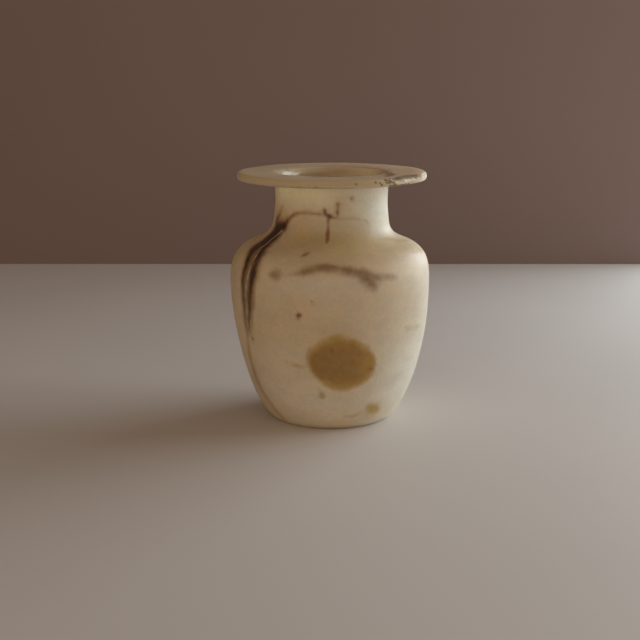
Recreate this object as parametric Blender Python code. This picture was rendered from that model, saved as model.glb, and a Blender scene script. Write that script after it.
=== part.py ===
"""A carved alabaster vase: one hollow turned stone with a wide flat rim that has lost flakes at one side.

Metres, +Z up. The origin is the centre of the foot's underside. The front faces -Y, and the broken
stretch of the rim runs from the front right round to the right side, +X.
"""

from math import cos, pi, radians, sin

import bmesh
import bpy
from mathutils import Matrix, Vector
from mathutils.geometry import interpolate_bezier

# Foot and belly
FOOT_RADIUS = 0.0447
HEEL_ANGLE = radians(21.5)
BELLY_RADIUS = 0.0742
BELLY_HEIGHT = 0.1056

# Shoulder: from the widest ring up to the root of the neck, with the steep stretch in between set by
# its reach out from the neck, its drop below the neck's root and its slope
SHOULDER_RISE = 0.0404
SLOPE_REACH = 0.0123
SLOPE_DROP = 0.0129
SLOPE_ANGLE = radians(26.9)

# Neck: its root, its narrowest ring half way up, and its top below the rim
NECK_ROOT_RADIUS = 0.0427
NECK_RADIUS = 0.0413
NECK_TOP_RADIUS = 0.0418
NECK_LENGTH = 0.0300
NECK_TAPER = radians(4.0)

# Rim: a flat disc with softened edges and a rounded mouth
RIM_RADIUS = 0.0692
RIM_THICKNESS = 0.0066
RIM_EDGE = 0.0018
RIM_ROOT_FILLET = 0.0026
LIP_WIDTH = 0.0066
LIP_DEPTH = 0.0072

# Thickness of the stone
BODY_WALL = 0.0080
NECK_WALL = 0.0050
FLOOR = 0.0140
FLOOR_CORNER = 0.0110

# How far each curve keeps its end's direction, as a share of the rise or the reach that it crosses
HEEL_PULL = 0.124
BELLY_PULL = 0.464
SHOULDER_PULL = 0.862
CREST_PULL = 0.182
HOLLOW_PULL = 0.251
ROOT_PULL = 0.68
NECK_PULL = 0.36
ROUND_PULL = 0.552

# Breaks in the rim, each an ellipsoid's hollow. Azimuths go from the front, -Y, towards +X. The hollow's
# centre stands out from the rim's edge and up from its top.
BREAKS = {
    "long_flake": {"azimuth": radians(54), "half_length": 0.043, "radius": 0.0140, "out": 0.0026, "up": 0.0088},
    "end_flake": {"azimuth": radians(76), "half_length": 0.030, "radius": 0.0100, "out": 0.0078, "up": 0.0002},
    "front_chip": {"azimuth": radians(33), "half_length": 0.012, "radius": 0.0080, "out": 0.0050, "up": 0.0036},
}

# Facets: steps around the vase, and along each stretch of its outline
SEGMENTS = 56
SIDE_STEPS = 13
SHOULDER_STEPS = 7
HOLLOW_STEPS = 6
NECK_STEPS = 3
LIP_STEPS = 4
EDGE_STEPS = 2
CORNER_STEPS = 4
CUTTER_SUBDIVISIONS = 3
MERGE_DISTANCE = 0.00001
SMOOTH_ANGLE = radians(35)

STONE_COLOUR = (0.56, 0.43, 0.29, 1.0)
STONE_ROUGHNESS = 0.42

# Heights that follow from the sizes above
NECK_ROOT_HEIGHT = BELLY_HEIGHT + SHOULDER_RISE
NECK_TOP_HEIGHT = NECK_ROOT_HEIGHT + NECK_LENGTH
HEIGHT = NECK_TOP_HEIGHT + RIM_THICKNESS
BORE_RADIUS = NECK_RADIUS - NECK_WALL


def at(radius, height):
    """A point of the outline, in the half plane that is turned round the vase's axis."""
    return Vector((radius, 0.0, height))


def bend(start, start_handle, end_handle, end, steps):
    """The points of one curved stretch, without its last, which begins the next stretch."""
    return interpolate_bezier(start, start_handle, end_handle, end, steps + 1)[:-1]


def quarter_turn(start, corner, end, steps):
    """A quarter of an ellipse from start to end, round inside their corner."""
    return bend(start, start.lerp(corner, ROUND_PULL), end.lerp(corner, ROUND_PULL), end, steps)


def outer_wall():
    """The outside of the stone, from the foot's edge up to the narrowest ring of the neck."""
    foot = at(FOOT_RADIUS, 0.0)
    belly = at(BELLY_RADIUS, BELLY_HEIGHT)
    slope = at(NECK_ROOT_RADIUS + SLOPE_REACH, NECK_ROOT_HEIGHT - SLOPE_DROP)
    root = at(NECK_ROOT_RADIUS, NECK_ROOT_HEIGHT)
    waist = at(NECK_RADIUS, NECK_ROOT_HEIGHT + NECK_LENGTH / 2)

    heel_way = at(cos(HEEL_ANGLE), sin(HEEL_ANGLE))
    slope_way = at(-cos(SLOPE_ANGLE), sin(SLOPE_ANGLE))
    root_way = at(-sin(NECK_TAPER), cos(NECK_TAPER))
    upward = at(0.0, 1.0)
    shoulder_rise = slope.z - belly.z

    side = bend(foot, foot + heel_way * HEEL_PULL * BELLY_HEIGHT,
                belly - upward * BELLY_PULL * BELLY_HEIGHT, belly, SIDE_STEPS)
    shoulder = bend(belly, belly + upward * SHOULDER_PULL * shoulder_rise,
                    slope - slope_way * CREST_PULL * (belly.x - slope.x), slope, SHOULDER_STEPS)
    hollow = bend(slope, slope + slope_way * HOLLOW_PULL * SLOPE_DROP,
                  root - root_way * ROOT_PULL * SLOPE_DROP, root, HOLLOW_STEPS)
    neck = bend(root, root + root_way * NECK_PULL * NECK_LENGTH / 2,
                waist - upward * NECK_PULL * NECK_LENGTH / 2, waist, NECK_STEPS)
    return side + shoulder + hollow + neck + [waist]


def rim():
    """The upper half of the neck, the rim's underside, edge and top, and the rounded mouth."""
    under = NECK_TOP_HEIGHT
    fillet_start = at(NECK_TOP_RADIUS, under - RIM_ROOT_FILLET)
    fillet_end = at(NECK_TOP_RADIUS + RIM_ROOT_FILLET, under)
    points = quarter_turn(fillet_start, at(NECK_TOP_RADIUS, under), fillet_end, EDGE_STEPS) + [fillet_end]
    points += quarter_turn(at(RIM_RADIUS - RIM_EDGE, under), at(RIM_RADIUS, under),
                           at(RIM_RADIUS, under + RIM_EDGE), EDGE_STEPS)
    points += [at(RIM_RADIUS, under + RIM_EDGE)]
    points += quarter_turn(at(RIM_RADIUS, HEIGHT - RIM_EDGE), at(RIM_RADIUS, HEIGHT),
                           at(RIM_RADIUS - RIM_EDGE, HEIGHT), EDGE_STEPS)
    points += [at(RIM_RADIUS - RIM_EDGE, HEIGHT)]
    points += quarter_turn(at(BORE_RADIUS + LIP_WIDTH, HEIGHT), at(BORE_RADIUS, HEIGHT),
                           at(BORE_RADIUS, HEIGHT - LIP_DEPTH), LIP_STEPS)
    return points + [at(BORE_RADIUS, HEIGHT - LIP_DEPTH)]


def wall_at(height):
    """The stone's thickness at a height: thin in the neck, full below the shoulder's steep stretch."""
    share = (NECK_ROOT_HEIGHT - height) / SLOPE_DROP
    share = min(max(share, 0.0), 1.0)
    return NECK_WALL + (BODY_WALL - NECK_WALL) * share * share * (3 - 2 * share)


def cavity(outside):
    """The inside, from the neck down: the outside moved in by the wall, then a rounded flat floor."""
    inside = [at(BORE_RADIUS, outside[-1].z)]
    for above, point, below in zip(outside[::-1], outside[-2::-1], outside[-3::-1]):
        along = (above - below).normalized()
        outward = at(along.z, -along.x)
        moved = point - outward * wall_at(point.z)
        if moved.z > FLOOR + FLOOR_CORNER:
            inside.append(moved)
    downward = (inside[-1] - inside[-2]).normalized()
    floor_edge = at(inside[-1].x - FLOOR_CORNER, FLOOR)
    corner = bend(inside[-1], inside[-1] + downward * FLOOR_CORNER * ROUND_PULL,
                  floor_edge + at(FLOOR_CORNER * ROUND_PULL, 0.0), floor_edge, CORNER_STEPS)
    return inside + corner[1:] + [floor_edge]


def turned_stone():
    """One closed mesh: the whole outline, from the foot's centre to the floor's, turned round the axis."""
    outside = outer_wall()
    outline = [at(0.0, 0.0)] + outside + rim() + cavity(outside) + [at(0.0, FLOOR)]
    shape = bmesh.new()
    verts = [shape.verts.new(point) for point in outline]
    edges = [shape.edges.new(pair) for pair in zip(verts, verts[1:])]
    bmesh.ops.spin(shape, geom=verts + edges, axis=(0, 0, 1), cent=(0, 0, 0),
                   angle=2 * pi, steps=SEGMENTS, use_merge=True)
    bmesh.ops.remove_doubles(shape, verts=shape.verts, dist=MERGE_DISTANCE)
    bmesh.ops.recalc_face_normals(shape, faces=shape.faces)
    return shape


def break_hollow(azimuth, half_length, radius, out, up):
    """The ellipsoid that leaves one break: long along the rim's edge and round across it."""
    shape = bmesh.new()
    centre = Vector((0.0, -(RIM_RADIUS + out), HEIGHT + up))
    place = Matrix.Rotation(azimuth, 4, "Z") @ Matrix.Translation(centre)
    stretch = Matrix.Diagonal((half_length / radius, 1.0, 1.0, 1.0))
    bmesh.ops.create_icosphere(shape, subdivisions=CUTTER_SUBDIVISIONS, radius=radius,
                               matrix=place @ stretch)
    return shape


def new_object(name, shape):
    """Writes a bmesh to an object of that name in the scene."""
    mesh = bpy.data.meshes.new(name)
    shape.to_mesh(mesh)
    shape.free()
    piece = bpy.data.objects.new(name, mesh)
    bpy.context.scene.collection.objects.link(piece)
    return piece


def stone_material():
    """Polished, faintly translucent honey-coloured stone."""
    material = bpy.data.materials.new("alabaster")
    material.use_nodes = True
    shader = material.node_tree.nodes["Principled BSDF"]
    shader.inputs["Base Color"].default_value = STONE_COLOUR
    shader.inputs["Roughness"].default_value = STONE_ROUGHNESS
    shader.inputs["Metallic"].default_value = 0.0
    return material


def make_vase():
    """The vase, with each break cut from its rim."""
    vase = new_object("alabaster_vase", turned_stone())
    vase.data.materials.append(stone_material())
    vase.data.shade_smooth()
    vase.data.set_sharp_from_angle(angle=SMOOTH_ANGLE)
    for name, sizes in BREAKS.items():
        cutter = new_object(name + "_cutter", break_hollow(**sizes))
        cutter.hide_render = True
        cutter.display_type = "WIRE"
        cut = vase.modifiers.new(name, "BOOLEAN")
        cut.operation = "DIFFERENCE"
        cut.solver = "EXACT"
        cut.object = cutter
    return vase


def main():
    for old in list(bpy.data.objects):
        bpy.data.objects.remove(old)
    make_vase()


main()
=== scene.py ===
"""A carved alabaster vase: one turned, hollow stone with brown veins, a wide flat rim and old breaks in it.

Metres, +Z up. The front faces -Y. Places on the stone are given as an azimuth in degrees, from the
front towards +X, and a height in millimetres above the foot.
"""

from math import cos, pi, radians, sin

import bpy
import numpy as np
from bpy.props import FloatProperty, FloatVectorProperty, PointerProperty
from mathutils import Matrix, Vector
from mathutils.geometry import interpolate_bezier


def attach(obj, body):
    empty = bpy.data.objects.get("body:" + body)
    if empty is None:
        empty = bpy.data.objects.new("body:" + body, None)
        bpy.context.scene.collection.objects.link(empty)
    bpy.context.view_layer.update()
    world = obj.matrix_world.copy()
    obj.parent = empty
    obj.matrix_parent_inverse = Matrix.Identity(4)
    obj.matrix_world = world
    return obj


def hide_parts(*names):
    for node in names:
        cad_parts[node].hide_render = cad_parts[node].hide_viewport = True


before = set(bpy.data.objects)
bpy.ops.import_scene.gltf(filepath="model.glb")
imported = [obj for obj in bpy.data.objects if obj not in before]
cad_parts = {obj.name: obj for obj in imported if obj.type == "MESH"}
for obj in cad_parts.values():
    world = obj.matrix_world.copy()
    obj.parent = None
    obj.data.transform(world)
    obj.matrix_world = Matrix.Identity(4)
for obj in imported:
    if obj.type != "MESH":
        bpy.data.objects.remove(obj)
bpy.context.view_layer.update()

bl_info = {
    "name": "Alabaster Vase",
    "version": (1, 0, 0),
    "blender": (4, 5, 0),
    "location": "3D View > Sidebar > Vase",
    "description": "Turns, breaks and veins a hollow stone vase, and sets it on a pale floor",
    "category": "Object",
}

MM = 0.001

# Outline of the stone: directions and pulls of its curves, the same as the plain solid has
HEEL_ANGLE = radians(21.5)
SHOULDER_RISE = 0.0404
SLOPE_REACH = 0.0123
SLOPE_DROP = 0.0129
SLOPE_ANGLE = radians(26.9)
NECK_ROOT_RADIUS = 0.0427
NECK_TOP_RADIUS = 0.0418
NECK_TAPER = radians(4.0)
RIM_EDGE = 0.0026
RIM_ROOT_FILLET = 0.0026
LIP_WIDTH = 0.0066
LIP_DEPTH = 0.0072
FLOOR_CORNER = 0.0110
HEEL_PULL = 0.124
BELLY_PULL = 0.464
SHOULDER_PULL = 0.862
CREST_PULL = 0.182
HOLLOW_PULL = 0.251
ROOT_PULL = 0.68
NECK_PULL = 0.36
ROUND_PULL = 0.552

# Rings of the cage along each stretch, outside and inside, and the steps round it. The fine rings serve to
# find places on the outside. The rings under the foot and on the floor inside are given by their radii.
TURN_STEPS = 72
OUTER_RINGS = {"side": 14, "shoulder": 8, "hollow": 6, "neck": 3}
INNER_RINGS = {"side": 8, "shoulder": 5, "hollow": 4, "neck": 2}
FINE_RINGS = {"side": 60, "shoulder": 40, "hollow": 24, "neck": 12}
NECK_TOP_RINGS = 3
EDGE_RINGS = 3
FLAT_RINGS = 4
LIP_RINGS = 3
CORNER_RINGS = 3
FOOT_RINGS = (0.007, 0.026, 0.041, 0.0441)
FLOOR_RINGS = (0.026, 0.007)
SMOOTHING = 2
SMOOTH_ANGLE = radians(38)
# A smoothed ring shrinks a little inside its cage, so the cage is made that much wider.
CAGE_SPREAD = 6 / (4 + 2 * cos(2 * pi / TURN_STEPS))

# How far the stone leans to the right of its belly at each height, as turned by hand
LEAN_HEIGHTS = (0.000, 0.040, 0.066, 0.080, 0.098, 0.112, 0.123, 0.137, 0.150, 0.176, 0.183)
LEAN_SHIFTS = (0.0011, 0.0011, 0.0007, 0.0003, 0.0, 0.0, 0.0007, 0.0006, 0.0011, 0.0013, 0.0014)
FOOT_SHIFT = LEAN_SHIFTS[0]

# The uneven places of hand grinding: their breadth, and how high above the foot they reach their full depth
WAVER_BREADTH = 0.045
WAVER_START = 0.008

# Breaks in the rim: long hollows along its edge, as in the plain solid. Each one's centre stands out from
# the rim's edge and up from its top.
BREAKS = {
    "long_flake": {"azimuth": 54, "half_length": 0.043, "radius": 0.0140, "out": 0.0026, "up": 0.0088},
    "end_flake": {"azimuth": 76, "half_length": 0.030, "radius": 0.0100, "out": 0.0078, "up": 0.0002},
    "front_chip": {"azimuth": 33, "half_length": 0.012, "radius": 0.0080, "out": 0.0050, "up": 0.0036},
}
# How finely a break's face is cut up, and the size of the lumps on it
BREAK_SUBDIVISIONS = 6
BREAK_LUMPS = 0.0075
# Where the rim has lost stone: between two azimuths, and this many millimetres outside the neck or more.
# There a point lies on a broken face if it is this deep inside the unbroken rim. The first depth holds in a
# break's hollow, made larger by the reach, and the second depth holds elsewhere.
BROKEN_ARC = (5, 115)
BROKEN_FROM_NECK = 4
LOST_IN_BREAK = 0.25
LOST_ELSEWHERE = 0.85
BREAK_REACH = 1.10
# A pit's lump: how far it stands out from the skin as a share of its radius, its shape, and the size and
# height of its own unevenness
PIT_OUT = 0.3
PIT_SHAPE = (1.0, 0.7, 0.85)
PIT_SUBDIVISIONS = 3
PIT_LUMPS = 0.0012
PIT_ROUGHNESS = 0.0005
# Painted shade, with dust, in a pit of the shoulder: half its length, its turn, and its half widths at both
# ends
PIT_SHADE_LENGTH = 0.5
PIT_SHADE_TURN = 0.4
PIT_SHADE_WIDTHS = (0.4, 0.2)
# Pits in the skin and in the rim's edge: azimuth, height and radius in millimetres
PITS = ((45.7, 124.5, 1.0), (49.7, 118.1, 1.2), (57.6, 120.9, 1.5), (53.3, 118.9, 1.1), (43.5, 113.7, 0.9),
        (51.5, 122.6, 0.8), (60.5, 124.4, 0.9), (55.4, 116.2, 0.8), (47.2, 121.2, 0.7),
        (27.0, 182.2, 1.1), (29.4, 181.0, 1.5), (31.6, 182.4, 1.3), (33.0, 180.4, 1.3), (35.2, 181.6, 1.5),
        (34.4, 178.9, 1.0), (37.6, 179.4, 1.4), (30.2, 179.4, 0.8), (25.0, 180.6, 0.8), (38.6, 177.6, 1.1),
        (13.4, 179.5, 0.8))

# Steps of a route between two of its places
ROUTE_STEPS = 4
# Routes of the veins and marks: azimuth, height, half width in millimetres
DARK_VEIN = (
    ((-48.6, 148.8, 0.6), (-53.0, 145.2, 3.0), (-61.0, 142.6, 5.6), (-65.4, 137.4, 6.2), (-62.6, 131.6, 5.2),
     (-59.6, 126.8, 3.2), (-58.0, 121.6, 2.5)),
    ((-57.8, 122.5, 2.4), (-57.2, 112.7, 2.0), (-57.6, 108.5, 1.8), (-57.4, 100.8, 1.6), (-57.1, 95.1, 1.4),
     (-56.9, 89.2, 1.2), (-56.9, 83.0, 0.8), (-57.2, 77.0, 0.1), (-57.5, 71.5, -1.0)),
    ((-56.5, 141.5, 2.6), (-57.4, 136.5, 3.4), (-54.4, 131.5, 3.3), (-50.6, 127.5, 3.2), (-49.0, 122.4, 3.0),
     (-49.0, 114.2, 3.3), (-49.8, 106.4, 3.2), (-50.8, 98.3, 2.8), (-51.8, 90.2, 2.3), (-53.4, 81.8, 1.7),
     (-54.0, 76.6, 0.9), (-54.2, 71.5, -0.5)),
)
FISSURE = ((-53.4, 142.6, 0.3), (-55.1, 141.4, 0.45), (-60.0, 136.2, 0.5), (-57.2, 132.3, 0.5),
           (-53.3, 127.8, 0.5), (-52.2, 121.8, 0.5), (-52.8, 115.3, 0.5), (-53.7, 107.6, 0.45),
           (-55.3, 99.5, 0.4), (-56.7, 91.3, 0.2))
SCRATCH = ((3.0, 117.4, 0.15), (2.4, 115.0, 0.3), (1.6, 112.6, 0.3), (0.8, 109.6, 0.15))
RUST_LINES = (
    ((-52.5, 144.9, 1.3), (-45.8, 151.4, 0.8), (-37.4, 155.2, 0.4), (-26.6, 156.5, 0.2), (-17.8, 156.0, 0.2),
     (-6.9, 155.6, 0.6), (-0.9, 154.3, 1.3), (6.4, 153.0, 0.2), (19.7, 152.4, -0.2), (33.0, 150.7, -0.4),
     (39.0, 147.9, -0.6)),
    ((-3.0, 155.0, 1.2), (-1.2, 154.2, 1.5), (0.6, 154.2, 0.6)),
    ((-7.2, 159.2, 0.6), (-6.9, 157.8, 1.2), (-6.4, 155.6, 0.8)),
    ((5.9, 162.4, 1.4), (5.7, 159.8, 0.6), (5.2, 156.2, 1.0), (5.1, 154.0, 0.2)),
    ((-57.5, 159.0, -0.6), (-61.0, 154.5, 0.2), (-65.5, 150.5, 1.0), (-70.5, 146.8, 1.4)),
    ((19.6, 166.8, 0.9), (20.4, 165.8, 0.6)),
    ((-19.2, 129.6, 0.2), (-17.4, 130.7, 1.1), (-15.9, 131.5, 0.4)),
    ((-10.9, 99.6, 0.6), (-10.4, 98.8, 0.4)),
    ((-5.7, 28.6, 0.2), (-6.8, 31.5, -0.4), (-8.3, 35.9, -0.7)),
    ((-17.5, 90.4, 1.2), (-18.3, 88.9, 1.5)),
    ((-52.8, 67.6, 0.8), (-52.8, 66.2, 0.8)),
)
RED_LINES = (
    ((-3.0, 153.4, 1.1), (-3.4, 150.5, 1.2), (-3.6, 147.3, 1.0), (-3.8, 142.5, 1.4), (-4.0, 139.0, 1.4),
     (-4.2, 136.4, 0.4)),
    ((-17.2, 90.8, 1.0), (-18.4, 89.0, 1.2)),
)
LOW_VEIN = (
    ((-54.9, 76.0, 0.6), (-56.6, 70.5, 1.7), (-58.5, 66.0, 2.2), (-59.6, 60.0, 2.2), (-60.7, 51.4, 2.4),
     (-60.8, 41.0, 2.9), (-59.5, 32.8, 2.6), (-57.7, 24.7, 2.3), (-52.6, 17.4, 2.0), (-49.1, 10.3, 1.5),
     (-44.2, 4.4, 1.2)),
    ((-57.9, 90.0, 0.4), (-59.5, 78.0, 0.9), (-58.7, 68.0, 1.2)),
    ((-46.0, 122.0, 0.2), (-46.2, 110.0, 1.0), (-48.0, 98.0, 1.4), (-50.5, 86.0, 1.2), (-52.5, 76.0, 0.6)),
)
SMEARS = (
    ((-30.2, 115.8, -1.0), (-24.0, 117.2, -0.6), (-19.3, 119.0, 1.0), (-14.9, 120.7, 2.2),
     (-11.2, 121.9, 2.7), (-6.1, 123.4, 2.9), (-0.1, 122.8, 2.9), (5.9, 121.8, 2.9), (11.0, 120.4, 3.2),
     (16.2, 118.6, 3.2), (20.6, 117.2, 3.1), (24.5, 116.0, 2.4), (30.2, 114.8, 1.0), (36.4, 113.6, -0.6)),
    ((16.8, 116.5, 3.2), (20.4, 113.6, 4.4), (22.6, 110.6, 2.4)),
    ((28.4, 116.0, 1.4), (33.0, 115.6, 1.6), (37.6, 115.0, 0.2)),
    ((-34.4, 117.0, 2.9), (-32.0, 116.5, 3.3)),
    ((-60.5, 140.5, 1.8), (-59.0, 135.5, 2.0), (-56.0, 130.5, 2.6), (-54.6, 125.0, 2.8), (-54.4, 116.0, 2.4),
     (-54.8, 106.0, 1.8), (-55.6, 98.0, 1.0), (-56.0, 90.0, 0.0)),
    ((-60.5, 158.5, -0.6), (-64.0, 154.0, 0.3), (-68.5, 149.5, 0.9)),
)
SMEAR_CORES = (
    ((-12.0, 123.3, 0.0), (-9.2, 124.3, 0.4), (-4.0, 124.6, 0.4), (-0.1, 123.9, 0.7), (4.5, 123.6, 0.6),
     (8.0, 122.6, 0.7), (11.1, 121.4, 0.1)),
    ((16.5, 116.0, 0.4), (19.5, 114.4, 0.9), (21.5, 113.0, 0.4)),
)
OCHRES = (
    ((-6.0, 71.5, 0.8), (3.0, 74.6, 3.2), (12.0, 72.0, 0.8)),
    ((-4.0, 38.5, 0.8), (6.1, 35.8, 3.0), (18.0, 39.0, 1.4), (24.0, 44.0, 0.8)),
    ((-15.0, 53.0, 0.6), (-14.0, 60.0, 1.2), (-10.5, 66.0, 0.6)),
    ((28.6, 18.0, 2.8), (32.5, 15.6, 4.2), (35.5, 14.2, 2.8)),
    ((-27.6, 54.2, 0.8), (-23.0, 52.5, 1.0), (-16.0, 51.5, 0.6)),
    ((-38.0, 47.0, -0.4), (-34.1, 44.8, 0.6), (-30.0, 42.6, -0.2)),
    ((43.0, 79.0, -0.6), (47.0, 76.3, 0.8), (55.9, 74.1, 1.2), (64.0, 74.5, 0.0)),
    ((-8.4, 29.0, 0.9), (-6.0, 31.0, 1.1)),
    ((10.0, 12.0, 0.2), (17.5, 12.0, 0.7), (21.0, 13.4, 0.2)),
    ((47.0, 137.5, 0.4), (58.0, 136.6, 1.4), (69.7, 134.2, 2.2), (82.0, 133.0, 1.2)),
    ((62.0, 127.5, 0.4), (73.9, 126.9, 1.6), (86.0, 126.0, 0.8)),
    ((-47.0, 150.0, 1.6), (-40.0, 154.0, 1.4), (-28.0, 156.2, 0.9), (-10.0, 155.6, 0.4)),
    ((-100.0, 2.0, 0.8), (-66.0, 2.0, 1.8), (-36.0, 1.2, 0.6), (0.0, 0.8, -0.4), (40.0, 0.8, -0.8)),
    ((-16.0, 119.6, 0.6), (-12.0, 120.6, 1.4), (-8.0, 121.4, 0.6)),
)
OVAL = ((-12.8, 55.6), (-12.8, 59.6), (-10.8, 63.4), (-8.0, 67.0), (-2.6, 70.0), (4.0, 71.6), (10.0, 70.8),
        (15.6, 67.8), (20.2, 63.8), (23.8, 59.4), (25.8, 54.4), (25.2, 49.2), (22.4, 44.6), (17.0, 40.6),
        (10.6, 38.4), (4.0, 38.4), (-1.6, 40.0), (-6.4, 43.0), (-9.2, 46.6), (-11.4, 51.0))
# The height at which the oval's width is measured, and half the length of its specks
OVAL_HEIGHT = 55.0
SPECK_LENGTH = 0.2
# The yellower side of the oval, given as the zones below are
OVAL_GLOW = ((24, 53, 8, 13, 0.75), (6, 39, 16, 4, 0.5), (2, 70, 14, 4, 0.5))
OVAL_SPECKS = ((-0.1, 65.2, 0.9), (24.1, 49.1, 0.9), (-4.0, 60.0, 0.0), (12.0, 56.0, -0.1), (7.0, 47.0, 0.0),
               (2.0, 52.0, -0.1), (16.0, 61.0, -0.1))
# Marks on the rim: half width, then azimuth, radius and height along the mark, in millimetres
RIM_STAINS = (
    (3.0, ((68.2, 43.1, 182.4), (62.4, 47.4, 182.4), (55.4, 51.0, 182.4), (45.5, 54.5, 182.4))),
    (1.6, ((68.2, 43.6, 182.4), (62.4, 47.4, 182.4))),
    (0.7, ((13.2, 69.2, 179.6), (13.6, 69.2, 179.4))),
    (0.2, tuple((azimuth, 68.2, 176.5) for azimuth in range(-84, 13, 24))),
)
# Dark lines and pits in the crumbling edge, and painted shade along the rim's lower edge: half width, then
# azimuth, radius and height, in millimetres
RIM_CRUMBS_AND_SHADE = (
    (0.5, ((50, 60.1, 182.4), (53, 61.0, 182.2), (57.6, 63.0, 182.0), (62.4, 65.2, 181.8),
           (67, 67.4, 181.6))),
    (0.3, ((36, 66.5, 182.0), (41, 66.0, 181.2), (46, 65.0, 181.0), (52, 65.0, 180.8), (57, 66.0, 180.8))),
    # Painted shade along the rim's lower edge
    (0.8, ((35, 69.0, 177.2), (41, 69.0, 176.9), (46, 68.8, 177.1), (52, 68.6, 177.4))),
    (0.6, ((24.8, 68.9, 180.6), (25.4, 68.9, 180.2))), (0.7, ((27.3, 68.8, 180.0), (27.9, 68.8, 179.4))),
    (0.6, ((29.0, 69.0, 178.4), (29.6, 69.0, 178.0))), (0.7, ((31.2, 68.6, 181.6), (32.6, 68.2, 181.3))),
    (0.7, ((32.8, 68.8, 179.7), (33.4, 68.8, 179.1))), (1.0, ((34.8, 68.6, 180.9), (35.6, 68.4, 180.2))),
    (1.1, ((36.8, 68.6, 180.0), (37.6, 68.6, 179.2))), (0.5, ((31.4, 69.0, 180.2), (31.8, 69.0, 179.8))),
    (0.8, ((38.0, 68.4, 178.0), (39.2, 68.2, 177.4))), (0.4, ((35.6, 53.6, 182.4), (37.0, 52.8, 182.4))),
    (0.5, ((30.4, 63.2, 182.4), (32.0, 62.6, 182.4))), (0.5, ((34.6, 67.6, 182.4), (37.6, 66.6, 182.3))),
    (0.5, ((26.4, 62.6, 182.4), (27.4, 62.0, 182.4))), (0.4, ((32.5, 57.5, 182.4), (35.0, 56.5, 182.4))),
)
# Stone-coloured patches on the broken faces, given the same way
RIM_PATCHES = (
    (2.3, ((43.5, 67.0, 180.6), (46.5, 66.6, 180.4), (49.0, 67.0, 180.2))),
    (1.0, ((50, 68.6, 178.4), (58, 68.4, 178.4))),
)
# Zones in the body of the stone: azimuth, height, spread round and up, and how warm (or, below nothing,
# how chalky) the stone is there. Some of the chalky zones are painted light.
ZONES = (
    (-6, 138, 36, 9, 0.58), (20, 133, 26, 7, 0.46), (-32, 142, 18, 7, 0.35), (62, 131, 18, 6, 0.35),
    (-72, 30, 16, 26, 0.45), (-62, 10, 20, 8, 0.40), (-84, 90, 20, 40, 0.75), (4, 76, 16, 7, 0.20),
    (32, 16, 7, 6, 1.20), (58, 84, 14, 22, 0.10), (128, 128, 40, 16, 0.55), (-150, 96, 38, 30, 0.50),
    (170, 40, 44, 18, 0.45), (-118, 136, 26, 12, 0.5), (12, 164, 10, 6, 0.45), (-64, 152, 14, 8, 0.40),
    # Painted light: the chalky zones on the neck and those at azimuths 52 and 84 paint its glow and the lit
    # right side
    (-62, 171, 16, 7, -0.70),
    (0, 112, 34, 8, -0.25), (-14, 60, 22, 16, -0.10), (-28, 24, 26, 16, -0.45), (10, 22, 30, 12, -0.35),
    (84, 78, 42, 62, -0.50), (52, 34, 26, 30, -1.10), (-26, 166, 42, 9, -0.60), (64, 158, 44, 16, -0.50),
    (30, 166, 20, 10, -0.35), (-4, 173, 60, 4, -0.35), (120, 80, 34, 20, -0.35), (-110, 50, 28, 20, -0.30),
)

# Millimetres that stand for far from any mark, and a length too small to divide by
FAR = 60.0
TINY = 1e-9
# A point counts as inside if it lies this many millimetres inside the nominal skin, or inside the neck's
# top radius from a little below the rim on
INSIDE_DEPTH = 2.6
NECK_INSIDE_DEPTH = 1.5
BELOW_RIM = 1.0
# A mark on the rim's edge reaches into the chips there: this share of the squared depth doesn't count, for
# marks that lie this far below the rim's top or farther
CHIP_REACH = 0.85
TOP_BAND = 0.3
# Painted shade on the rim, a darker olive: it begins this far below the rim's underside, and is full after
# this rise
SHADE_BELOW = 0.8
SHADE_RISE = 1.2
# Azimuth, spread, width in from the rim's edge, and strength of the painted light on the rim's tip towards
# the window and of the painted shade added on its edge at the left and front
LIT_TIP = (84.0, 16.0, 9.0, 0.55)
SHADED_EDGE = (-24.0, 70.0, 2.2, 0.3)
# Painted light on the side of the inside that the light shines through: azimuth and spread, how much of
# the painted shade it loses, and how much paler it is painted
SHINE_AZIMUTH = 134.0
SHINE_SPREAD = 30.0
SHINE_LIGHTENS = 0.5
SHINE_PALENESS = 1.2
# Millimetres from the lip's outer edge over which it grows smooth
LIP_FADE = 2.0

# Stains, painted one over the other: the layer that they follow, how far they reach past its edge, how
# ragged and how soft they end, all in millimetres, how fine the raggedness is, how strongly they cover,
# in which pattern, and their colour
STAINS = (
    ("ochre", 0.0, 3.6, 2.4, 90.0, 0.60, "even", "ochre"),
    ("smear", 0.0, 3.8, 3.4, 85.0, 0.84, "mottled", "smear"),
    ("oval", 2.6, 4.6, 2.4, 105.0, 0.78, "even", "ochre"),
    ("oval", 0.0, 4.4, 2.4, 120.0, 1.0, "mottled", "oval_core"),
    ("dark_vein", 2.4, 5.0, 4.2, 110.0, 0.60, "even", "smear"),
    ("dark_vein", 0.3, 3.6, 2.2, 150.0, 0.80, "even", "rust"),
    ("low_vein", 0.0, 3.2, 3.2, 110.0, 0.64, "even", "oval"),
    # The smear's cores, and the painted shade with dust in the shoulder's pits
    ("smear_core_and_pit_shade", 0.0, 1.6, 1.0, 260.0, 0.50, "even", "rust"),
    ("rust", 0.8, 2.0, 1.9, 200.0, 0.40, "even", "streak"),
    ("rust", 0.0, 1.2, 0.8, 300.0, 1.0, "uneven", "rust"),
    ("streak", 0.0, 1.0, 1.0, 260.0, 0.80, "even", "streak"),
    ("rim_stain", 0.0, 2.6, 1.3, 200.0, 0.74, "even", "plum"),
    ("dark_vein", -1.1, 3.6, 1.8, 170.0, 0.92, "even", "vein"),
)
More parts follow.
